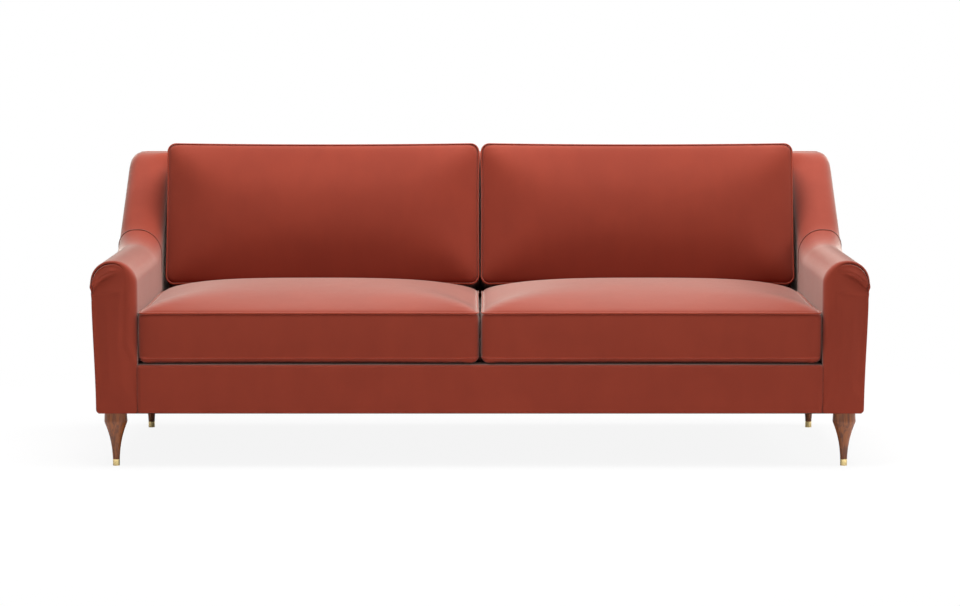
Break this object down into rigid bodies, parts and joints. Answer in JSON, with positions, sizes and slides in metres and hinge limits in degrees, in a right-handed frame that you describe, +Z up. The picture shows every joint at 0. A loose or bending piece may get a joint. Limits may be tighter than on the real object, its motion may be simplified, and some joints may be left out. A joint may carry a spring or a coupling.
{
  "type": "sofa",
  "caption": "Upholstered two-seat sofa with swooping rolled arms, loose box cushions with welted edges and turned wooden legs in brass cups.",
  "frame": {"origin": "on the floor under the middle of the sofa", "axes": "+X to the right seen from the front, +Y to the rear, +Z up; the sofa faces -Y"},
  "size_m": [2.184, 0.95, 0.8972],
  "materials": {
    "rust_velvet": "matte",
    "deck_cloth": "matte",
    "leg_wood": "satin",
    "brass": "polished",
    "zinc_steel": "satin",
    "dust_cloth": "matte",
    "foam": "matte",
    "webbing": "matte",
    "zip_tape": "matte",
    "zip_metal": "satin",
    "plywood": "matte",
    "frame_timber": "matte"
  },
  "bodies": {
    "sofa_frame": {"arm_bolts": "zinc_steel", "back_top_rail": "frame_timber", "back_webbing_straps": "webbing", "centre_back_rib": "plywood", "deck_cover": "deck_cloth", "deck_padding": "foam", "dust_cloth": "dust_cloth", "front_border_cover": "rust_velvet", "front_border_padding": "foam", "front_legs": "leg_wood", "front_seat_rail": "frame_timber", "inside_back_cover": "rust_velvet", "inside_back_padding": "foam", "left_arm_blocks": "frame_timber", "left_arm_cover": "rust_velvet", "left_arm_front_board": "plywood", "left_arm_inner_board": "plywood", "left_arm_outer_board": "plywood", "left_arm_padding": "foam", "left_back_rib": "plywood", "left_seat_rail": "frame_timber", "leg_ferrules": "brass", "leg_stud_plates": "zinc_steel", "outside_back_panel": "rust_velvet", "outside_back_rail": "frame_timber", "rear_legs": "leg_wood", "rear_seat_rail": "frame_timber", "right_arm_blocks": "frame_timber", "right_arm_cover": "rust_velvet", "right_arm_front_board": "plywood", "right_arm_inner_board": "plywood", "right_arm_outer_board": "plywood", "right_arm_padding": "foam", "right_back_rib": "plywood", "right_seat_rail": "frame_timber", "seat_corner_blocks": "frame_timber", "seat_cross_straps": "webbing", "seat_stretchers": "frame_timber", "seat_webbing_straps": "webbing"},
    "left_seat_cushion": {"left_seat_cushion_core": "foam", "left_seat_cushion_cover": "rust_velvet", "left_seat_cushion_zip_tape": "zip_tape"},
    "left_seat_cushion_slider": {"left_seat_cushion_zip_slider": "zip_metal"},
    "left_back_cushion": {"left_back_cushion_core": "foam", "left_back_cushion_cover": "rust_velvet", "left_back_cushion_zip_tape": "zip_tape"},
    "left_back_cushion_slider": {"left_back_cushion_zip_slider": "zip_metal"},
    "right_seat_cushion": {"right_seat_cushion_core": "foam", "right_seat_cushion_cover": "rust_velvet", "right_seat_cushion_zip_tape": "zip_tape"},
    "right_seat_cushion_slider": {"right_seat_cushion_zip_slider": "zip_metal"},
    "right_back_cushion": {"right_back_cushion_core": "foam", "right_back_cushion_cover": "rust_velvet", "right_back_cushion_zip_tape": "zip_tape"},
    "right_back_cushion_slider": {"right_back_cushion_zip_slider": "zip_metal"}
  },
  "joints": [
    {"name": "left_seat_cushion_slide", "type": "slide", "parent": "sofa_frame", "child": "left_seat_cushion", "axis": [0, -1, 0], "range_m": [0, 0.76]},
    {"name": "left_back_cushion_lift", "type": "slide", "parent": "sofa_frame", "child": "left_back_cushion", "axis": [0, 0.2079, 0.9781], "range_m": [0, 0.45]},
    {"name": "right_seat_cushion_slide", "type": "slide", "parent": "sofa_frame", "child": "right_seat_cushion", "axis": [0, -1, 0], "range_m": [0, 0.76]},
    {"name": "right_back_cushion_lift", "type": "slide", "parent": "sofa_frame", "child": "right_back_cushion", "axis": [0, 0.2079, 0.9781], "range_m": [0, 0.45]},
    {"name": "left_seat_zip", "type": "slide", "parent": "left_seat_cushion", "child": "left_seat_cushion_slider", "axis": [-1, 0, 0], "range_m": [0, 0.85]},
    {"name": "left_back_zip", "type": "slide", "parent": "left_back_cushion", "child": "left_back_cushion_slider", "axis": [-1, 0, 0], "range_m": [0, 0.84]},
    {"name": "right_seat_zip", "type": "slide", "parent": "right_seat_cushion", "child": "right_seat_cushion_slider", "axis": [1, 0, 0], "range_m": [0, 0.85]},
    {"name": "right_back_zip", "type": "slide", "parent": "right_back_cushion", "child": "right_back_cushion_slider", "axis": [1, 0, 0], "range_m": [0, 0.84]}
  ]
}
